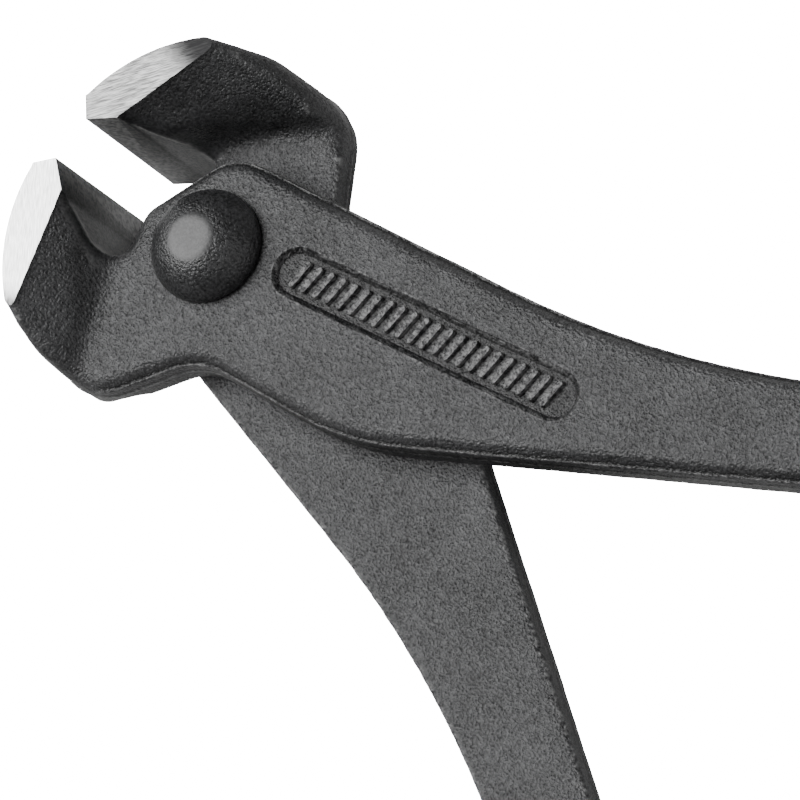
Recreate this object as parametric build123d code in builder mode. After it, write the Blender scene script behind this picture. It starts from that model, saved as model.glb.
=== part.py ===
from build123d import *
import os

# End-cutting pincers: two identical forged levers in a lap joint, held by one domed rivet.
# Millimetres. The origin is the middle of the joint, on the rivet's axis and between the two
# lap faces. +Z is the rivet's axis, +X points out between the jaws, halfway between the levers.
# A lever is drawn with the pincers shut, its jaw on the +Y side and its cutting edge on Y = 0.

# joint
lever_thickness = 6.5
lap_gap = 0.12
pin_radius = 5.0
running_clearance = 0.05
opening_angle = 16.2

# rivet heads
head_radius = 7.55
head_height = 5.0
collar_height = 0.9
head_shoulder = (5.6, 3.55)
head_flat_radius = 2.6

# jaw
jaw_width = 27.0
edge_reach = 21.8
edge_gap = 0.05
bevel_back = (18.75, 3.1)
bevel_front = (24.3, 2.0)
brow_middle = (22.6, 11.0)
brow_end = (17.1, 19.3)

# cheeks: each falls from a brink line on the jaw's side face to a foot on the lever, and its
# edge at the heel is rounded
brink_start = Vector(18.85, 3.0, 0)
brink_direction = Vector(-0.171, 0.985, 0).normalized()
outer_foot = (6.6, 0.115)
lap_foot = (3.3, 0.485)
outer_cheek_round = 0.6
lap_cheek_round = 1.2
cheek_from = -1.0
cheek_to = 27.0
overrun = 2.0
beyond = 40.0
heel_from = 19.5
half_width = jaw_width / 2
lap = lap_gap / 2

# handle
handle_end = -225.5
outer_edge_round = 1.9
lap_edge_round = 0.35

# blank recessed panel with plain slanted bars
panel_centre = (-33.4, -3.9)
panel_angle = 3.5
panel_length = 47.0
panel_width = 6.2
panel_depth = 0.7
bar_height = 0.55
bar_count = 22
bar_pitch = 1.8
bar_size = (0.8, 3.4)
bar_slant = 15.0

# the lever's plan outline from the brow round the heel, handle and joint to the back of the
# cutting edge: each corner has the radius of its bend
outline_corners = [
    (12.6, 22.6, 7.0),                   # shoulder of the jaw
    (3.4, 24.4, 8.0),                    # heel of the jaw
    (-7.0, 13.0, 9.0),                   # waist behind the heel
    (-31.3, 12.95, 40.0),                # belly
    (-108.9, -18.7, 110.0),              # inner bend
    (handle_end, -17.3, 5.5),            # handle end, inner corner
    (handle_end, -30.3, 5.5),            # handle end, outer corner
    (-106.9, -31.3, 120.0),              # outer bend
    (-63.1, -14.9, 150.0),               # hip
    (4.1, -12.2, 7.0),                   # back of the joint
    (10.9, -0.3, 3.0),                   # front of the joint
    (10.4, 4.6, 2.0),                    # root of the pocket
    (11.3, 9.0, 2.4),                    # bottom of the pocket
    (18.3, 3.7, 3.0),                    # hollow behind the cutting edge
]


def lever_outline():
    """The face inside the closed plan outline."""
    corners = [corner[:2] for corner in outline_corners]
    radii = [corner[2] for corner in outline_corners]
    with BuildSketch() as outline:
        with BuildLine():
            FilletPolyline([brow_end, *corners, bevel_back], radius=radii)
            Line(bevel_back, (edge_reach, edge_gap))
            Line((edge_reach, edge_gap), bevel_front)
            ThreePointArc(bevel_front, brow_middle, brow_end)
        make_face()
    return outline.sketch


def cheek_reach(foot, along):
    """How far a cheek's foot is from the brink line, at a distance along that line."""
    return foot[0] + foot[1] * along


def jaw_region(foot):
    """The part of the plan outline that lies ahead of a cheek's foot."""
    back = brink_direction.rotate(Axis.Z, 90)
    ends = [brink_start + brink_direction * along + back * cheek_reach(foot, along)
            for along in (cheek_from, cheek_to)]
    with BuildSketch() as region:
        add(lever_outline())
        with BuildLine():
            Polyline(*[(end.X, end.Y) for end in ends], (beyond, beyond), (beyond, -beyond), close=True)
        make_face(mode=Mode.INTERSECT)
    return region.sketch


def cheek_section(foot, along, side, foot_height):
    """A section through what is cut away above a cheek, across the brink line."""
    back = brink_direction.rotate(Axis.Z, 90)
    reach = cheek_reach(foot, along)
    slope = (foot_height - side * half_width) / reach
    clear = side * beyond
    plane = Plane(brink_start + brink_direction * along, x_dir=back, z_dir=brink_direction)
    with BuildSketch(plane) as section:
        with BuildLine():
            Polyline((0, side * half_width), (reach + overrun, foot_height + overrun * slope),
                     (reach + overrun, clear), (0, clear), close=True)
        make_face()
    return section.sketch


def heel_edges(jaw_faces):
    """The edges where a cheek meets the outer wall of the heel."""
    cheek = jaw_faces.filter_by(lambda face: face.geom_type not in (GeomType.PLANE, GeomType.CYLINDER))[0]
    return cheek.edges().filter_by(lambda edge: edge.center().Y > heel_from)


# the wide jaw, one half on each side of the lap, each with its cheek cut to a slope
with BuildPart() as outer_half:
    with BuildSketch(Plane.XY.offset(lap)):
        add(jaw_region(outer_foot))
    extrude(amount=half_width - lap)
    loft([cheek_section(outer_foot, along, 1, lever_thickness).face()
          for along in (cheek_from, cheek_to)], ruled=True, mode=Mode.SUBTRACT)
    fillet(heel_edges(faces()), radius=outer_cheek_round)

with BuildPart() as lap_half:
    with BuildSketch(Plane.XY.offset(-half_width)):
        add(jaw_region(lap_foot))
    extrude(amount=half_width + lap)
    loft([cheek_section(lap_foot, along, -1, lap).face()
          for along in (cheek_from, cheek_to)], ruled=True, mode=Mode.SUBTRACT)
    fillet(heel_edges(faces()), radius=lap_cheek_round)

with BuildPart() as lever:
    # the flat plate of joint and handle
    with BuildSketch(Plane.XY.offset(lap)):
        add(lever_outline())
    extrude(amount=lever_thickness - lap)
    fillet(faces().sort_by(Axis.Z)[-1].edges(), radius=outer_edge_round)
    fillet(faces().sort_by(Axis.Z)[0].edges(), radius=lap_edge_round)
    add(outer_half.part)
    add(lap_half.part)

    # blank recessed panel on the outer face, with plain slanted bars standing in it
    panel_plane = Plane((*panel_centre, lever_thickness)).rotated((0, 0, panel_angle))
    with BuildSketch(panel_plane):
        SlotOverall(panel_length, panel_width)
    extrude(amount=-panel_depth, mode=Mode.SUBTRACT)
    with BuildSketch(panel_plane.offset(-panel_depth)):
        with GridLocations(bar_pitch, 1, bar_count, 1):
            Rectangle(*bar_size, rotation=-bar_slant)
    extrude(amount=bar_height)

# the labelled lever lies on top, its jaw towards +Y, and grips the rivet
with BuildPart() as front_lever:
    add(lever.part, rotation=(0, 0, opening_angle / 2))
    Hole(pin_radius)

# the same forging turned over, which turns on the rivet
with BuildPart() as rear_lever:
    add(lever.part.rotate(Axis.X, 180), rotation=(0, 0, -opening_angle / 2))
    Hole(pin_radius + running_clearance)

# one rivet with a domed, flattened head formed at each end
with BuildPart() as pivot_rivet:
    seat = lever_thickness + running_clearance
    collar = lever_thickness + collar_height
    shoulder = lever_thickness + head_shoulder[1]
    crown = lever_thickness + head_height
    with BuildSketch(Plane.XZ):
        with BuildLine():
            Polyline((0, -crown), (0, crown), (head_flat_radius, crown))
            ThreePointArc((head_flat_radius, crown), (head_shoulder[0], shoulder),
                          (head_radius, collar))
            Polyline((head_radius, collar), (head_radius, lever_thickness), (pin_radius, lever_thickness),
                     (pin_radius, -seat), (head_radius, -seat), (head_radius, -collar))
            ThreePointArc((head_radius, -collar), (head_shoulder[0], -shoulder),
                          (head_flat_radius, -crown))
            Line((head_flat_radius, -crown), (0, -crown))
        make_face()
    revolve(axis=Axis.Z)

os.makedirs("parts", exist_ok=True)
for name, piece in (("front_lever", front_lever), ("rear_lever", rear_lever), ("pivot_rivet", pivot_rivet)):
    piece.part.label = name
    export_step(piece.part, f"parts/{name}.step")
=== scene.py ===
import math

import bmesh
import bpy
import numpy as np
from mathutils import Matrix, Vector, noise


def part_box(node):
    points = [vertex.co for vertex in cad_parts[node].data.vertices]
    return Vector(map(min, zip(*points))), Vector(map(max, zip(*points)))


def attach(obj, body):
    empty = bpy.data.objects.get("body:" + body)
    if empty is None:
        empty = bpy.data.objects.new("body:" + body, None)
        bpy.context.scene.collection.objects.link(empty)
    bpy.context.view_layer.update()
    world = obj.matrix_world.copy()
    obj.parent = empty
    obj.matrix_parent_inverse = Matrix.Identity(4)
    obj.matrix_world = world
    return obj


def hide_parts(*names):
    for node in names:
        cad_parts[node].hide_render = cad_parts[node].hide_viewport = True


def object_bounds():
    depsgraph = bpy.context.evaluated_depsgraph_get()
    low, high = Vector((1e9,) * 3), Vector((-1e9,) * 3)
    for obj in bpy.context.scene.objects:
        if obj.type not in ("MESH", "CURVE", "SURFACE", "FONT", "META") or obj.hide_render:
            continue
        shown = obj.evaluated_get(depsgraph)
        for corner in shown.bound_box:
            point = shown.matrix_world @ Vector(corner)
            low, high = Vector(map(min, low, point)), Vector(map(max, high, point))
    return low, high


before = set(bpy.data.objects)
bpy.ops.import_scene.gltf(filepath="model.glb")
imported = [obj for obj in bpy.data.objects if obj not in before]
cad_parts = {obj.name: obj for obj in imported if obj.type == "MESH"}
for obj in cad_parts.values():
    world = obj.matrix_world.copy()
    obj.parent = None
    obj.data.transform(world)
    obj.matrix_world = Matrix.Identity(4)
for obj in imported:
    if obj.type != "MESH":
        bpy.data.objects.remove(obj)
cad_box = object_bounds()

MM = 0.001

# ---- the forging, in the lever's own plan: handle towards -X, jaw towards +Y, cutting edge along Z ----
HALF_OPENING = math.radians(8.1)
HALF_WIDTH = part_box("front_lever")[1].z
LAP_FACE = 0.06 * MM
PLATE_TOP = 6.5 * MM
EDGE = (21.8 * MM, 0.05 * MM)
BEVEL_BACK = (18.75 * MM, 3.1 * MM)
BEVEL_FRONT = (24.3 * MM, 2.0 * MM)
BEVEL_RUN = 1.0 * MM
BRINK_START = (18.85 * MM, 3.0 * MM)
BRINK_DIRECTION = (-0.171, 0.985)
# each cheek's foot: millimetres behind the brink where it starts, and the growth of that along it
OUTER_FOOT = (6.6, 0.115)
LAP_FOOT = (3.3, 0.485)
HOLLOW = (Vector((18.3, 3.7)) * MM, Vector((11.6, 8.8)) * MM)
PANEL_CENTRE = Vector((-33.4, -3.9)) * MM
PANEL_ANGLE = math.radians(3.5)
PANEL_HALF = (23.7 * MM, 3.45 * MM)
PANEL_DEPTH = 0.82 * MM
PANEL_SLOPE = 0.75 * MM
BAR_COUNT = 22
BAR_PITCH = 1.88 * MM
BAR_HALF = (2.1 * MM, 0.45 * MM)
BAR_HEIGHT = 0.68 * MM
BAR_TAPER = 0.12 * MM
BAR_STRAIGHT = 0.5
BAR_ROOT = 0.2 * MM
BAR_SLANT = math.radians(-15)
BAR_STEPS = 6
PANEL_STEPS = 10
PANEL_FILL = 1.5

# ---- forging, smoothing and grinding ----
MERGE_REACH = 0.001 * MM
LEVER_VOXEL = 0.375 * MM
STOCK = 0.9 * MM
# spare metal round the cutting edge: a corner of the profile and a step away from it
EDGE_STOCK = (
    (BEVEL_BACK, 0.3 * MM, 0.2 * MM), (BEVEL_BACK, -0.5 * MM, -0.7 * MM),
    (EDGE, -0.4 * MM, -STOCK), (EDGE, 0.5 * MM, -STOCK),
    (BEVEL_FRONT, 0.6 * MM, -0.6 * MM), (BEVEL_FRONT, -0.3 * MM, 0.2 * MM),
)
STOCK_FACING = 0.99
STOCK_HEIGHT = 0.99
GROUND_FACING = 0.999
GROUND_HEIGHT = 0.9995
BLOCK_FRONT = 36.0 * MM
BLOCK_BACK = -260.0 * MM
BLOCK_SIDE = 60.0 * MM
BLOCK_NOTCH = ((14.0 * MM, -BLOCK_SIDE), (15.0 * MM, 0.0))
SMOOTH_ROUNDS = 5
SMOOTH_STEP = 0.5
LEVER_SEEDS = {"front_lever": 3.0, "rear_lever": 17.0}
SEED_SKEW = 0.7
DENTS = ((5.0 * MM, 0.05 * MM), (1.8 * MM, 0.025 * MM), (0.8 * MM, 0.014 * MM))
CREASE = math.radians(32)
RIDGE = (0.016 * MM, 0.04 * MM)
# concavity over which the black skin is darkened: painted shade in creases and recesses
CREVICE_SHADE = (0.006 * MM, 0.03 * MM)

# where the forged skin ends; each pair is a fade from its first value to its second
JAW_FROM = (11.0 * MM, 12.0 * MM)
HOLLOW_BAND = (0.5 * MM, 1.2 * MM)
EDGE_ZONE = (5.4 * MM, 6.0 * MM)
BEVEL_ZONE = (0.6 * MM, 1.6 * MM)
LAP_BAND = 0.3 * MM
LAP_FACING = -0.7

# lines in millimetres along which the forging bends softly
CHEEK_FEET = (
    ((11.0, 7.8, 6.5), (6.6, 22.0, 6.5)),
    ((11.3, 8.2, 0.0), (2.0, 21.0, 0.0)),
)
HEEL_EDGES = (
    ((12.5, 22.4, 11.0), (5.5, 23.8, 6.5)),
    ((13.0, 22.3, -10.5), (4.5, 23.6, -3.0)),
    ((4.5, 23.6, -3.0), (1.0, 21.6, 0.0)),
)
BEND_REACH = 3.0 * MM
BEND_CORE = 0.4
BEND_ROUNDS = 40

FLASH_LINE = 3.5 * MM
FLASH_WIDTH = 0.6 * MM
FLASH_HEIGHT = 0.16 * MM
FLASH_WALL = (0.3, 0.7)
FLASH_END = (8.0 * MM, 9.5 * MM)
SHOULDER_ROUNDS = 50
SHOULDER_STEP = 0.7
SHOULDER_DROP = 0.9 * MM
SHOULDER_FACING = (0.3, 0.8)
SHOULDER_BAND = (PLATE_TOP - 2.0 * MM, PLATE_TOP - 1.0 * MM)
SHOULDER_END = (8.0 * MM, 11.0 * MM)
SHOULDER_RIM = (0.35, 0.95)

OUTER_BULGE = 0.5 * MM
LAP_BULGE = 1.8 * MM
CHEEK_ROUNDS = 10
BEND_START = 0.2
BEND_GROWTH = 0.034
BEND_END = 0.75
BEND_ONSET = (0.0, 5.0 * MM)
BEND_BAND = (0.8 * MM, 2.0 * MM)
BENT_PART = (0.2, 0.6)

# ---- the rivet ----
RIVET_VOXEL = 0.2 * MM
RIVET_ROUNDS = 16
RIVET_DENTS = ((4.0 * MM, 0.05 * MM), (1.2 * MM, 0.02 * MM))
RIVET_SEED = 29.0
RIVET_CREASE = math.radians(50)
DOME = (PLATE_TOP + 0.8 * MM, PLATE_TOP + 1.6 * MM)
DOME_TILT_FROM = PLATE_TOP + 1.0 * MM
HEAD = (PLATE_TOP + 0.1 * MM, PLATE_TOP + 0.4 * MM)
SHANK = (PLATE_TOP - 0.3 * MM, PLATE_TOP - 0.1 * MM)
FLAT_DEPTHS = (0.32 * MM, 0.12 * MM)
FLAT_CALM = 0.7
FLAT_SHIFT = Vector((0.27, 0.22, 0)) * MM
HEAD_SHIFT = Vector((-0.3, 0, 0)) * MM
SHANK_EASE = 0.06 * MM

# ---- camera: a long lens over the joint, leaning towards the handles ----
CAMERA_LEAN = math.radians(28.65)
CAMERA_TURN = math.radians(2.32)
CAMERA_ROLL = math.radians(36.2)
CAMERA_DISTANCE = 0.906
FRAME_WIDTH = 101.7 * MM
SEAT = Vector((0, 0, PLATE_TOP))
AIM_RIGHT = 24.59 * MM
AIM_DOWN = 19.57 * MM
SENSOR = 36

# ---- studio ----
FLOOR = 3.0
FLOOR_DROP = 0.5 * MM
FLOOR_GREY = (0.5, 0.5, 0.5, 1)
FLOOR_ROUGHNESS = 0.9
WHITE = (1, 1, 1, 1)
WHITE_GLOW = 22.0
WORLD_LIGHT = 0.05
# each softbox: name, direction from the joint, distance, size and power
SOFTBOXES = (
    ("key", (0.45, 0.22, 0.85), 1.0, 0.9, 25),
    ("low_fill", (-0.80, -0.30, 0.52), 0.9, 0.4, 2.0),
)

# ---- colours and grain; a tone is low, high, start, end: low..high is mapped to start..end ----
BLACK_LOW = (0.004, 0.0041, 0.0043, 1)
BLACK_HIGH = (0.046, 0.0465, 0.048, 1)
WORN_EDGE = (0.13, 0.13, 0.13, 1)
SCALE_BLACK = (0.02, 0.02, 0.021, 1)
GRAIN_DETAIL = 2.0
BLACK_SPECULAR = 0.46

COARSE_GRAIN = 1.5
FINE_GRAIN = 3.0
CLOUD_GRAIN = 0.12
FINE_OFFSET = 7
CLOUD_OFFSET = 13
COARSE_SHARE = 0.35
FINE_SHARE = 0.65
SKIN_TONE = (0.35, 0.65, 0.0, 0.8)
CLOUD_TONE = (0.3, 0.7, -0.15, 0.2)
WORN_TONE = (0.4, 0.62, 0.0, 1.0)
SKIN_ROUGHNESS = (0.3, 0.7, 0.5, 0.36)
RIDGE_POLISH = (0.2, 1.0, 0.0, 0.08)
SKIN_BUMP = 0.42 * MM
SKIN_BUMP_TONE = (0.0, 1.0, 0.08, 1.0)

# dull steel, bright steel, and how far along the ground face the black scale begins; the rear lever's far
# darker steel is painted shade on a ground face like the front one's
STEEL_AND_REAR_SHADE = {"front_lever": ((0.42, 0.42, 0.42, 1), (0.7, 0.7, 0.695, 1), 15.5 * MM),
         # painted shade: the rear lever's ground face is given a much darker steel than the front one's
         "rear_lever": ((0.06, 0.06, 0.06, 1), (0.24, 0.24, 0.238, 1), 11.5 * MM)}
BROW_FADE = 5.0 * MM
BROW_TONE = (-0.35, 1.15)
STREAK_GRAIN = 8.0
STREAK_STRETCH = (14, 1, 14)
STREAK_TURN = math.radians(-60)
STREAK_SHARE = 0.6
SCRATCH_GRAIN = 17.0
SCRATCH_STRETCH = (30, 1, 30)
SCRATCH_TURN = STREAK_TURN + math.radians(5)
SCRATCH_SHARE = 0.4
SCRATCH_OFFSET = 5
FEATHER_TONE = (0.35, 0.65, -0.5, 0.5)
SCALE_TONE = (0.25, 1.15, 0.0, 1.0)
LINE_TONE = (0.38, 0.62, 0.0, 1.0)
LINE_ROUGHNESS = (0.35, 0.65, 0.42, 0.3)
SCALE_ROUGHNESS = 0.4
METAL_TONE = (0.0, 1.0, 1.0, 0.0)
STEEL_SPECULAR = 0.2
LINE_BUMP = 0.012 * MM

RIVET_GRAIN = 2.8
RIVET_OFFSET = 41
RIVET_TONE = (0.35, 0.65, 0.0, 0.6)
RIVET_ROUGHNESS = (0.0, 1.0, 0.4, 0.36)
RIVET_BUMP = 0.2 * MM
RIVET_BUMP_TONE = (0.0, 1.0, 0.05, 1.0)


# ---------------------------------------------------------------- camera, floor and light
def add_object(name, data):
    """A new object in the scene."""
    thing = bpy.data.objects.new(name, data)
    bpy.context.scene.collection.objects.link(thing)
    return thing


def add_camera():
    """The camera looks at the joint, leaned back along the tool and rolled."""
    along = Vector((math.cos(CAMERA_TURN), math.sin(CAMERA_TURN), 0))
    across = Vector((-math.sin(CAMERA_TURN), math.cos(CAMERA_TURN), 0))
    back = Vector((0, 0, 1)) * math.cos(CAMERA_LEAN) - along * math.sin(CAMERA_LEAN)
    lifted = along * math.cos(CAMERA_LEAN) + Vector((0, 0, 1)) * math.sin(CAMERA_LEAN)
    right = -lifted * math.cos(CAMERA_ROLL) - across * math.sin(CAMERA_ROLL)
    up = back.cross(right)
    data = bpy.data.cameras.new("camera")
    data.sensor_width = SENSOR
    data.lens = SENSOR * CAMERA_DISTANCE / FRAME_WIDTH
    camera = add_object("camera", data)
    place = SEAT + right * AIM_RIGHT - up * AIM_DOWN + back * CAMERA_DISTANCE
    camera.matrix_world = Matrix((right, up, back)).transposed().to_4x4()
    camera.matrix_world.translation = place
    bpy.context.scene.camera = camera


def add_softbox(name, direction, distance, size, power):
    """A square area light that faces the joint."""
    data = bpy.data.lights.new(name, "AREA")
    data.size = size
    data.energy = power
    lamp = add_object(name, data)
    lamp.location = Vector(direction).normalized() * distance
    lamp.rotation_euler = (-lamp.location).to_track_quat("-Z", "Y").to_euler()
    lamp.visible_camera = False


def add_floor():
    """A grey floor that glows white for the camera alone."""
    z = cad_box[0][2] - FLOOR_DROP
    mesh = bpy.data.meshes.new("floor")
    mesh.from_pydata([(-FLOOR, -FLOOR, z), (FLOOR, -FLOOR, z), (FLOOR, FLOOR, z), (-FLOOR, FLOOR, z)],
                     [], [(0, 1, 2, 3)])
    material, tree, shader = new_material("white_floor")
    shader.inputs["Base Color"].default_value = FLOOR_GREY
    shader.inputs["Roughness"].default_value = FLOOR_ROUGHNESS
    shader.inputs["Emission Color"].default_value = WHITE
    path = tree.nodes.new("ShaderNodeLightPath")
    glow = math_node(tree, "MULTIPLY", path.outputs["Is Camera Ray"], WHITE_GLOW)
    tree.links.new(glow, shader.inputs["Emission Strength"])
    mesh.materials.append(material)
    add_object("floor", mesh)


def add_world():
    """A backdrop that the camera sees white and that lights the tool only dimly."""
    world = bpy.data.worlds.new("studio")
    world.use_nodes = True
    tree = world.node_tree
    background = tree.nodes["Background"]
    background.inputs["Color"].default_value = WHITE
    path = tree.nodes.new("ShaderNodeLightPath")
    tree.links.new(ramp(tree, path.outputs["Is Camera Ray"], 0, 1, WORLD_LIGHT, WHITE_GLOW),
                   background.inputs["Strength"])
    bpy.context.scene.world = world


# ---------------------------------------------------------------- material nodes
def new_material(name):
    """A node material and its shader."""
    material = bpy.data.materials.new(name)
    material.use_nodes = True
    return material, material.node_tree, material.node_tree.nodes["Principled BSDF"]


def link(tree, source, target):
    """Connects an output to an input, or sets the input when the source is a number or a colour."""
    if isinstance(source, (int, float, tuple)):
        target.default_value = source
    else:
        tree.links.new(source, target)


def math_node(tree, operation, first, second=0.0):
    """A math node's output."""
    node = tree.nodes.new("ShaderNodeMath")
    node.operation = operation
    link(tree, first, node.inputs[0])
    link(tree, second, node.inputs[1])
    return node.outputs[0]


def weighted(tree, first, first_share, second, second_share):
    """The sum of two outputs, each with its share."""
    return math_node(tree, "ADD", math_node(tree, "MULTIPLY", first, first_share),
                     math_node(tree, "MULTIPLY", second, second_share))


def ramp(tree, value, low, high, start, end):
    """Maps a value from low..high to start..end, held at its ends."""
    node = tree.nodes.new("ShaderNodeMapRange")
    link(tree, value, node.inputs["Value"])
    for socket, number in zip(("From Min", "From Max", "To Min", "To Max"), (low, high, start, end)):
        link(tree, number, node.inputs[socket])
    return node.outputs[0]


def attribute(tree, name, output="Fac"):
    """A mesh attribute's output."""
    node = tree.nodes.new("ShaderNodeAttribute")
    node.attribute_name = name
    return node.outputs[output]


def grain(tree, place, per_mm, offset, stretch=(1, 1, 1), turn=0.0):
    """Noise on the piece's own coordinates, with a given number of grains in a millimetre."""
    mapping = tree.nodes.new("ShaderNodeMapping")
    mapping.vector_type = "TEXTURE"
    mapping.inputs["Location"].default_value = (offset * MM, offset * MM, offset * MM)
    mapping.inputs["Rotation"].default_value = (0, 0, turn)
    mapping.inputs["Scale"].default_value = stretch
    tree.links.new(place, mapping.inputs["Vector"])
    texture = tree.nodes.new("ShaderNodeTexNoise")
    texture.inputs["Scale"].default_value = per_mm / MM
    texture.inputs["Detail"].default_value = GRAIN_DETAIL
    tree.links.new(mapping.outputs["Vector"], texture.inputs["Vector"])
    return texture.outputs["Fac"]


def colour_mix(tree, factor, first, second):
    """A colour between two, of which either may be another node's output."""
    node = tree.nodes.new("ShaderNodeMix")
    node.data_type = "RGBA"
    for number, source in ((0, factor), (6, first), (7, second)):
        link(tree, source, node.inputs[number])
    return node.outputs[2]


def bump(tree, shader, height, distance, strength=1.0):
    """Bump of a given depth."""
    node = tree.nodes.new("ShaderNodeBump")
    node.inputs["Distance"].default_value = distance
    link(tree, strength, node.inputs["Strength"])
    tree.links.new(height, node.inputs["Height"])
    tree.links.new(node.outputs["Normal"], shader.inputs["Normal"])


def forged_black(name, offset):
    """Blackened forged skin: fine grains, painted shade that darkens the crevices, and worn smoother on the
    ridges.
    """
    material, tree, shader = new_material(name)
    place = attribute(tree, "place", "Vector")
    skin = attribute(tree, "skin")
    ridge = attribute(tree, "ridge")
    crevice_shade = attribute(tree, "crevice_shade")
    coarse = grain(tree, place, COARSE_GRAIN, offset)
    fine = grain(tree, place, FINE_GRAIN, offset + FINE_OFFSET)
    grains = weighted(tree, coarse, COARSE_SHARE, fine, FINE_SHARE)
    cloud = grain(tree, place, CLOUD_GRAIN, offset + CLOUD_OFFSET)
    tone = math_node(tree, "ADD", ramp(tree, grains, *SKIN_TONE), ramp(tree, cloud, *CLOUD_TONE))
    # painted shade: the black is darkened where the surface is concave
    tone = math_node(tree, "SUBTRACT", tone, crevice_shade)
    worn = math_node(tree, "MULTIPLY", ridge, ramp(tree, coarse, *WORN_TONE))
    black = colour_mix(tree, tone, BLACK_LOW, BLACK_HIGH)
    tree.links.new(colour_mix(tree, worn, black, WORN_EDGE), shader.inputs["Base Color"])
    polish = ramp(tree, ridge, *RIDGE_POLISH)
    rough = math_node(tree, "SUBTRACT", ramp(tree, grains, *SKIN_ROUGHNESS), polish)
    tree.links.new(rough, shader.inputs["Roughness"])
    shader.inputs["Specular IOR Level"].default_value = BLACK_SPECULAR
    bump(tree, shader, grains, SKIN_BUMP, ramp(tree, skin, *SKIN_BUMP_TONE))
    return material


def ground_steel(name, offset, dull, bright, brow_from):
    """Bright ground steel: near-parallel streaks that feather into black at the brow."""
    material, tree, shader = new_material(name)
    place = attribute(tree, "place", "Vector")
    streaks = grain(tree, place, STREAK_GRAIN, offset, STREAK_STRETCH, STREAK_TURN)
    scratches = grain(tree, place, SCRATCH_GRAIN, offset + SCRATCH_OFFSET, SCRATCH_STRETCH, SCRATCH_TURN)
    lines = weighted(tree, streaks, STREAK_SHARE, scratches, SCRATCH_SHARE)
    split = tree.nodes.new("ShaderNodeSeparateXYZ")
    tree.links.new(place, split.inputs[0])
    brow = ramp(tree, split.outputs["Y"], brow_from, brow_from + BROW_FADE, *BROW_TONE)
    feather = ramp(tree, lines, *FEATHER_TONE)
    black = ramp(tree, math_node(tree, "ADD", brow, feather), *SCALE_TONE)
    # on the rear lever the dull and bright steel are darkened as painted shade
    steel = colour_mix(tree, ramp(tree, lines, *LINE_TONE), dull, bright)
    tree.links.new(colour_mix(tree, black, steel, SCALE_BLACK), shader.inputs["Base Color"])
    tree.links.new(ramp(tree, black, *METAL_TONE), shader.inputs["Metallic"])
    scale_rough = math_node(tree, "MULTIPLY", black, SCALE_ROUGHNESS)
    rough = math_node(tree, "ADD", ramp(tree, lines, *LINE_ROUGHNESS), scale_rough)
    tree.links.new(rough, shader.inputs["Roughness"])
    shader.inputs["Specular IOR Level"].default_value = STEEL_SPECULAR
    bump(tree, shader, lines, LINE_BUMP)
    return material


def rivet_black(name):
    """Semi-gloss blackened steel, grainy on the dome and smoother on the hammered flat."""
    material, tree, shader = new_material(name)
    place = attribute(tree, "place", "Vector")
    skin = attribute(tree, "skin")
    fine = grain(tree, place, RIVET_GRAIN, RIVET_OFFSET)
    black = colour_mix(tree, ramp(tree, fine, *RIVET_TONE), BLACK_LOW, BLACK_HIGH)
    tree.links.new(black, shader.inputs["Base Color"])
    tree.links.new(ramp(tree, skin, *RIVET_ROUGHNESS), shader.inputs["Roughness"])
    shader.inputs["Specular IOR Level"].default_value = BLACK_SPECULAR
    bump(tree, shader, fine, RIVET_BUMP, ramp(tree, skin, *RIVET_BUMP_TONE))
    return material


# ---------------------------------------------------------------- mesh work
def cad_copy(node):
    """A copy of a CAD node's mesh, with its split corners merged."""
    work = bmesh.new()
    work.from_mesh(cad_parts[node].data)
    bmesh.ops.remove_doubles(work, verts=work.verts, dist=MERGE_REACH)
    return work


def to_mesh(work, name):
    """The finished mesh of a bmesh."""
    mesh = bpy.data.meshes.new(name)
    work.to_mesh(mesh)
    work.free()
    return mesh


def modified(mesh, kind, **settings):
    """The mesh after one modifier."""
    carrier = add_object("work", mesh)
    modifier = carrier.modifiers.new(kind, kind)
    for key, value in settings.items():
        setattr(modifier, key, value)
    depsgraph = bpy.context.evaluated_depsgraph_get()
    result = bpy.data.meshes.new_from_object(carrier.evaluated_get(depsgraph))
    bpy.data.objects.remove(carrier)
    return result


def prism(name, outline, low, high):
    """A closed upright prism over a plan outline, given anticlockwise."""
    count = len(outline)
    points = [(x, y, low) for x, y in outline] + [(x, y, high) for x, y in outline]
    sides = [(i, (i + 1) % count, count + (i + 1) % count, count + i) for i in range(count)]
    mesh = bpy.data.meshes.new(name)
    mesh.from_pydata(points, [], [tuple(reversed(range(count))), tuple(range(count, 2 * count)), *sides])
    return mesh


def rounded_ring(centre, turn, half_length, half_width, z, steps):
    """The points of a level outline with round ends, anticlockwise."""
    ring = []
    for end, start in ((1, -90), (-1, 90)):
        for step in range(steps + 1):
            angle = math.radians(start + 180 * step / steps)
            x = end * (half_length - half_width) + half_width * math.cos(angle)
            y = half_width * math.sin(angle)
            ring.append((centre[0] + x * math.cos(turn) - y * math.sin(turn),
                         centre[1] + x * math.sin(turn) + y * math.cos(turn), z))
    return ring


def stacked(rings):
    """The points and faces of a closed solid through level rings of the same count, lowest first."""
    count = len(rings[0])
    faces = [tuple(reversed(range(count))), tuple(range((len(rings) - 1) * count, len(rings) * count))]
    for level in range(len(rings) - 1):
        low, high = level * count, (level + 1) * count
        faces += [(low + i, low + (i + 1) % count, high + (i + 1) % count, high + i) for i in range(count)]
    return [point for ring in rings for point in ring], faces


def panel_solid(name, grow, low, high):
    """A slab of the panel's shape whose walls lean outward towards the top."""
    half = PANEL_HALF[0] - PANEL_SLOPE, PANEL_HALF[1] - PANEL_SLOPE
    lean = grow * (high - low) / PANEL_DEPTH
    rings = [rounded_ring(PANEL_CENTRE, PANEL_ANGLE, half[0] + out, half[1] + out, z, PANEL_STEPS)
             for out, z in ((0.0, low), (lean, high))]
    points, faces = stacked(rings)
    mesh = bpy.data.meshes.new(name)
    mesh.from_pydata(points, [], faces)
    return mesh


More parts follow.
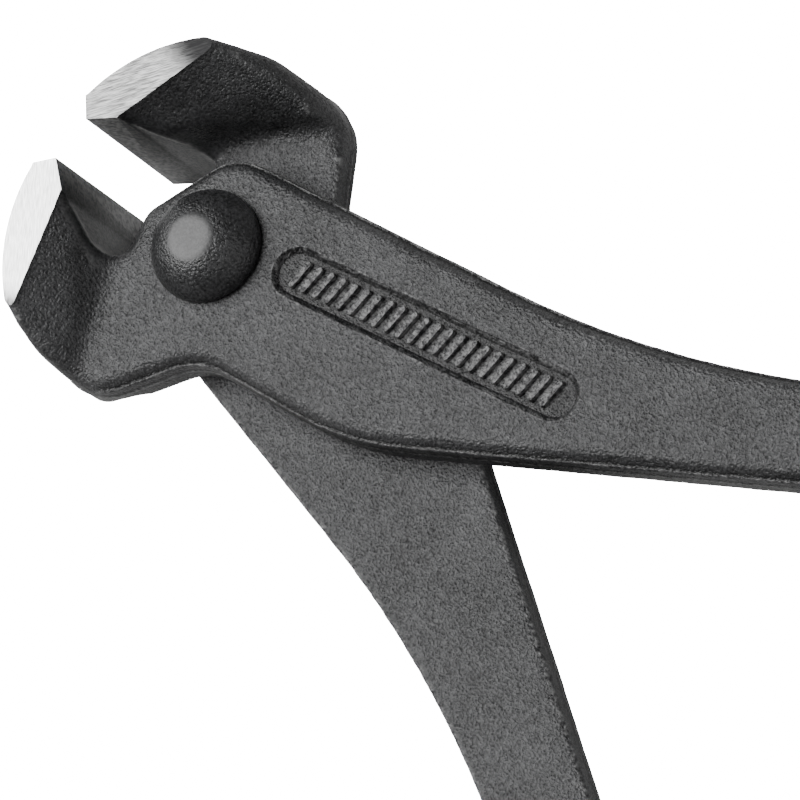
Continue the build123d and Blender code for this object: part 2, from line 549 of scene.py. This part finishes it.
def bars_mesh():
    """The plain slanted bars that stand in the panel."""
    points, faces = [], []
    for index in range(BAR_COUNT):
        along = (index - (BAR_COUNT - 1) / 2) * BAR_PITCH
        centre = PANEL_CENTRE + Vector((math.cos(PANEL_ANGLE), math.sin(PANEL_ANGLE))) * along
        floor = PLATE_TOP - PANEL_DEPTH
        rings = [rounded_ring(centre, PANEL_ANGLE + BAR_SLANT + math.pi / 2, BAR_HALF[0] - inset,
                              BAR_HALF[1] - inset, z, BAR_STEPS)
                 for inset, z in ((0.0, floor - BAR_ROOT), (0.0, floor + BAR_STRAIGHT * BAR_HEIGHT),
                                  (BAR_TAPER, floor + BAR_HEIGHT))]
        bar_points, bar_faces = stacked(rings)
        faces += [tuple(number + len(points) for number in face) for face in bar_faces]
        points += bar_points
    mesh = bpy.data.meshes.new("bars")
    mesh.from_pydata(points, [], faces)
    return mesh


def carved(mesh, operation, tool):
    """The mesh after one boolean with another mesh."""
    carrier = add_object("tool", tool)
    result = modified(mesh, "BOOLEAN", operation=operation, solver="MANIFOLD", object=carrier)
    bpy.data.objects.remove(carrier)
    return result


def coordinates(mesh):
    """The mesh's points as an array."""
    points = np.empty(len(mesh.vertices) * 3)
    mesh.vertices.foreach_get("co", points)
    return points.reshape(-1, 3)


def set_coordinates(mesh, points):
    """Moves the mesh's points to new places."""
    mesh.vertices.foreach_set("co", points.ravel())
    mesh.update()


def normals(mesh):
    """The mesh's point normals as an array."""
    values = np.empty(len(mesh.vertices) * 3)
    mesh.vertices.foreach_get("normal", values)
    return values.reshape(-1, 3)


def edge_pairs(mesh):
    """The two point numbers of each edge."""
    pairs = np.empty(len(mesh.edges) * 2, dtype=np.int64)
    mesh.edges.foreach_get("vertices", pairs)
    return pairs.reshape(-1, 2)


def neighbour_mean(values, pairs):
    """The mean of the values at each point's neighbours."""
    total = np.zeros_like(values)
    np.add.at(total, pairs[:, 0], values[pairs[:, 1]])
    np.add.at(total, pairs[:, 1], values[pairs[:, 0]])
    count = np.bincount(pairs.ravel(), minlength=len(values))
    return total / np.maximum(count, 1)[:, None]


def smooth(mesh, rounds, weight):
    """Rounds the mesh a little, by a weight for each point."""
    points, pairs = coordinates(mesh), edge_pairs(mesh)
    for _ in range(rounds):
        points += (neighbour_mean(points, pairs) - points) * weight[:, None]
    set_coordinates(mesh, points)


def dent(mesh, dents, weight, seed):
    """Moves each point along its normal by noise of several sizes."""
    points, outward = coordinates(mesh), normals(mesh)
    start = Vector((seed, seed * SEED_SKEW, -seed))
    height = np.zeros(len(points))
    for size, depth in dents:
        scaled = points / size
        height += depth * np.array([noise.noise(Vector(point) + start) for point in scaled])
    points += outward * (height * weight)[:, None]
    set_coordinates(mesh, points)


def fade(value, low, high):
    """0 below low, 1 above high, and smooth between."""
    part = np.clip((value - low) / (high - low), 0, 1)
    return part * part * (3 - 2 * part)


def skin_weight(points):
    """How much forged skin each point has: none on the bevels and in the hollow."""
    away = HOLLOW[1] - HOLLOW[0]
    across = Vector((away.y, -away.x)).normalized()
    below = (points[:, 0] - HOLLOW[0].x) * across.x + (points[:, 1] - HOLLOW[0].y) * across.y
    in_jaw = fade(points[:, 0], *JAW_FROM)
    hollow = in_jaw * (1 - fade(np.abs(below), *HOLLOW_BAND))
    edge = 1 - fade(np.hypot(points[:, 0] - EDGE[0], points[:, 1] - EDGE[1]), *EDGE_ZONE)
    bevels = edge * (1 - fade(points[:, 1] + points[:, 0] - sum(EDGE), *BEVEL_ZONE))
    return (1 - hollow) * (1 - bevels)


def off_lap(points, outward):
    """0 on the lap face, which has to slide, and 1 elsewhere."""
    on_lap = (np.abs(points[:, 2] - LAP_FACE) < LAP_BAND) & (outward[:, 2] < LAP_FACING)
    return 1.0 - on_lap


def near_line(points, start, end):
    """1 on a line from start to end in millimetres, falling to 0 at the reach of its bend."""
    start, end = np.array(start) * MM, np.array(end) * MM
    span = end - start
    part = np.clip((points - start) @ span / (span @ span), 0, 1)
    away = np.linalg.norm(points - start - part[:, None] * span, axis=1)
    return 1 - fade(away, BEND_CORE * BEND_REACH, BEND_REACH)


def bend_cheeks(mesh):
    """Each cheek is shallow below its brink and bends to fall steeply to its foot."""
    points = coordinates(mesh)
    back = np.array((-BRINK_DIRECTION[1], BRINK_DIRECTION[0]))
    from_brink = points[:, :2] - np.array(BRINK_START)
    along, behind = from_brink @ np.array(BRINK_DIRECTION), from_brink @ back
    bend = np.clip(BEND_START + BEND_GROWTH * along / MM, BEND_START, BEND_END)
    bent = np.zeros(len(points))
    cheeks = ((1, OUTER_FOOT, PLATE_TOP, OUTER_BULGE), (-1, LAP_FOOT, LAP_FACE, LAP_BULGE))
    for side, foot, height, bulge in cheeks:
        reach = foot[0] * MM + foot[1] * along
        part = np.clip(behind / reach, 0, 1)
        drop = HALF_WIDTH - side * height
        above = np.abs(points[:, 2] - side * (HALF_WIDTH - part * drop))
        roof = np.minimum(part / bend, (1 - part) / (1 - bend)) * fade(along, *BEND_ONSET)
        near = 1 - fade(above, *BEND_BAND)
        push = bulge * roof * near
        bent += fade(roof, *BENT_PART) * near
        slant = np.hypot(drop, reach)
        points[:, :2] += (push * drop / slant)[:, None] * back
        points[:, 2] += push * side * reach / slant
    set_coordinates(mesh, points)
    smooth(mesh, CHEEK_ROUNDS, SMOOTH_STEP * np.clip(bent, 0, 1))


def raise_flash(mesh):
    """A low bead round the plate's wall, where the flash was trimmed; it runs round the bore as well."""
    points, outward = coordinates(mesh), normals(mesh)
    bead = 1 - fade(np.abs(points[:, 2] - FLASH_LINE), 0.0, FLASH_WIDTH)
    wall = 1 - fade(np.abs(outward[:, 2]), *FLASH_WALL)
    body = 1 - fade(points[:, 0], *FLASH_END)
    points[:, :2] += outward[:, :2] * (FLASH_HEIGHT * bead * wall * body)[:, None]
    set_coordinates(mesh, points)


def ease_shoulders(mesh):
    """Lowers the plate's outer face a little towards its rim, in a broad soft shoulder."""
    points, pairs = coordinates(mesh), edge_pairs(mesh)
    upward = normals(mesh)[:, 2:3].copy()
    level = upward.copy()
    for _ in range(SHOULDER_ROUNDS):
        level += SHOULDER_STEP * (neighbour_mean(level, pairs) - level)
    outer = fade(upward[:, 0], *SHOULDER_FACING) * fade(points[:, 2], *SHOULDER_BAND)
    body = 1 - fade(points[:, 0], *SHOULDER_END)
    rim = 1 - fade(level[:, 0], *SHOULDER_RIM)
    points[:, 2] -= SHOULDER_DROP * rim * outer * body
    set_coordinates(mesh, points)


def forge_stock():
    """The rough forging: the lever with spare metal on the faces that are ground later."""
    work = cad_copy("front_lever")
    bmesh.ops.rotate(work, verts=work.verts, matrix=Matrix.Rotation(-HALF_OPENING, 3, "Z"))
    work.normal_update()
    for side in (-1, 1):
        flat = [face for face in work.faces if face.normal.z * side > STOCK_FACING
                and face.calc_center_median().z * side > HALF_WIDTH * STOCK_HEIGHT]
        grown = bmesh.ops.extrude_face_region(work, geom=flat)["geom"]
        bmesh.ops.delete(work, geom=flat, context="FACES")
        tops = [item for item in grown if isinstance(item, bmesh.types.BMVert)]
        bmesh.ops.translate(work, verts=tops, vec=(0, 0, side * STOCK))
    profile = [(corner[0] + right, corner[1] + up) for corner, right, up in EDGE_STOCK]
    work.from_mesh(prism("edge_stock", profile, -HALF_WIDTH - STOCK, HALF_WIDTH + STOCK))
    work.from_mesh(panel_solid("panel_filling", PANEL_SLOPE, PLATE_TOP - PANEL_FILL * PANEL_DEPTH, PLATE_TOP))
    return to_mesh(work, "stock")


def grinding_block():
    """What is left inside the planes of the side faces and the two bevels."""
    reach = BLOCK_FRONT - EDGE[0]
    front_y = EDGE[1] + reach * (BEVEL_FRONT[1] - EDGE[1]) / (BEVEL_FRONT[0] - EDGE[0])
    return prism("block", [
        EDGE, (BLOCK_FRONT, front_y), (BLOCK_FRONT, BLOCK_SIDE), (BLOCK_BACK, BLOCK_SIDE),
        (BLOCK_BACK, -BLOCK_SIDE), *BLOCK_NOTCH, (BEVEL_BACK[0] - BEVEL_RUN, BEVEL_BACK[1] + BEVEL_RUN),
    ], -HALF_WIDTH, HALF_WIDTH)


def set_attribute(mesh, name, values):
    """A number or vector kept on each point."""
    kind, key = ("FLOAT_VECTOR", "vector") if values.ndim == 2 else ("FLOAT", "value")
    layer = mesh.attributes.new(name, kind, "POINT")
    layer.data.foreach_set(key, values.astype(np.float32).ravel())


def forge_lever(node, rough, place, seed):
    """One finished lever: the rough forging is dented, ground flat and put in its place."""
    mesh = rough.copy()
    points = coordinates(mesh)
    dent(mesh, DENTS, skin_weight(points) * off_lap(points, normals(mesh)), seed)
    mesh = carved(mesh, "INTERSECT", grinding_block())
    floor = PLATE_TOP - PANEL_DEPTH
    mesh = carved(mesh, "DIFFERENCE", panel_solid("panel", PANEL_SLOPE, floor, floor + 2 * PANEL_DEPTH))
    mesh = carved(mesh, "UNION", bars_mesh())
    mesh.name = node + "_forging"
    points, outward, pairs = coordinates(mesh), normals(mesh), edge_pairs(mesh)
    bulge = ((points - neighbour_mean(points, pairs)) * outward).sum(axis=1)
    set_attribute(mesh, "place", points)
    set_attribute(mesh, "skin", skin_weight(points))
    set_attribute(mesh, "ridge", fade(bulge, *RIDGE))
    # painted shade: how far each concave point's black is darkened
    set_attribute(mesh, "crevice_shade", fade(-bulge, *CREVICE_SHADE))
    mesh.materials.clear()
    mesh.materials.append(forged_black(node + "_skin", seed))
    mesh.materials.append(ground_steel(node + "_ground", seed, *STEEL_AND_REAR_SHADE[node]))
    for face in mesh.polygons:
        face.use_smooth = True
        flat = abs(face.normal.z) > GROUND_FACING and abs(face.center.z) > HALF_WIDTH * GROUND_HEIGHT
        face.material_index = 1 if flat else 0
    mesh.set_sharp_from_angle(angle=CREASE)
    mesh.transform(place)
    return add_object(node + "_forging", mesh)


def make_levers():
    """Both levers come from the same forging; the rear one is turned over."""
    stock = forge_stock()
    rough = modified(stock, "REMESH", mode="VOXEL", voxel_size=LEVER_VOXEL)
    weight = np.full(len(rough.vertices), SMOOTH_STEP)
    smooth(rough, SMOOTH_ROUNDS, weight)
    raise_flash(rough)
    ease_shoulders(rough)
    bend_cheeks(rough)
    points = coordinates(rough)
    for start, end in CHEEK_FEET + HEEL_EDGES:
        smooth(rough, BEND_ROUNDS, weight * near_line(points, start, end))
    places = {
        "front_lever": Matrix.Rotation(HALF_OPENING, 4, "Z"),
        "rear_lever": Matrix.Rotation(-HALF_OPENING, 4, "Z") @ Matrix.Rotation(math.pi, 4, "X"),
    }
    for name, place in places.items():
        lever = forge_lever(name, rough, place, LEVER_SEEDS[name])
        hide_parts(name)
        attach(lever, name)


def make_rivet():
    """The rivet, hammered slightly uneven, with its heads and their flats off centre."""
    stock = to_mesh(cad_copy("pivot_rivet"), "rivet_stock")
    mesh = modified(stock, "REMESH", mode="VOXEL", voxel_size=RIVET_VOXEL)
    smooth(mesh, RIVET_ROUNDS, np.full(len(mesh.vertices), SMOOTH_STEP))
    points = coordinates(mesh)
    reach = np.abs(points[:, 2])
    top = reach.max()
    dome = fade(reach, *DOME)
    flat = fade(reach, top - FLAT_DEPTHS[0], top - FLAT_DEPTHS[1])
    dent(mesh, RIVET_DENTS, dome * (1 - FLAT_CALM * flat), RIVET_SEED)
    points = coordinates(mesh)
    points += fade(reach, DOME_TILT_FROM, top)[:, None] * np.array(FLAT_SHIFT)
    points += fade(reach, *HEAD)[:, None] * np.array(HEAD_SHIFT)
    shank = 1 - fade(reach, *SHANK)
    spread = np.maximum(np.hypot(points[:, 0], points[:, 1]), MM)
    points[:, :2] *= (1 - SHANK_EASE * shank / spread)[:, None]
    set_coordinates(mesh, points)
    set_attribute(mesh, "place", points)
    set_attribute(mesh, "skin", 1 - flat)
    mesh.materials.clear()
    mesh.materials.append(rivet_black("rivet_black"))
    mesh.polygons.foreach_set("use_smooth", np.ones(len(mesh.polygons), dtype=bool))
    mesh.set_sharp_from_angle(angle=RIVET_CREASE)
    rivet = add_object("pivot_rivet_hammered", mesh)
    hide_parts("pivot_rivet")
    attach(rivet, "front_lever")


add_camera()
add_floor()
add_world()
for softbox in SOFTBOXES:
    add_softbox(*softbox)
make_levers()
make_rivet()
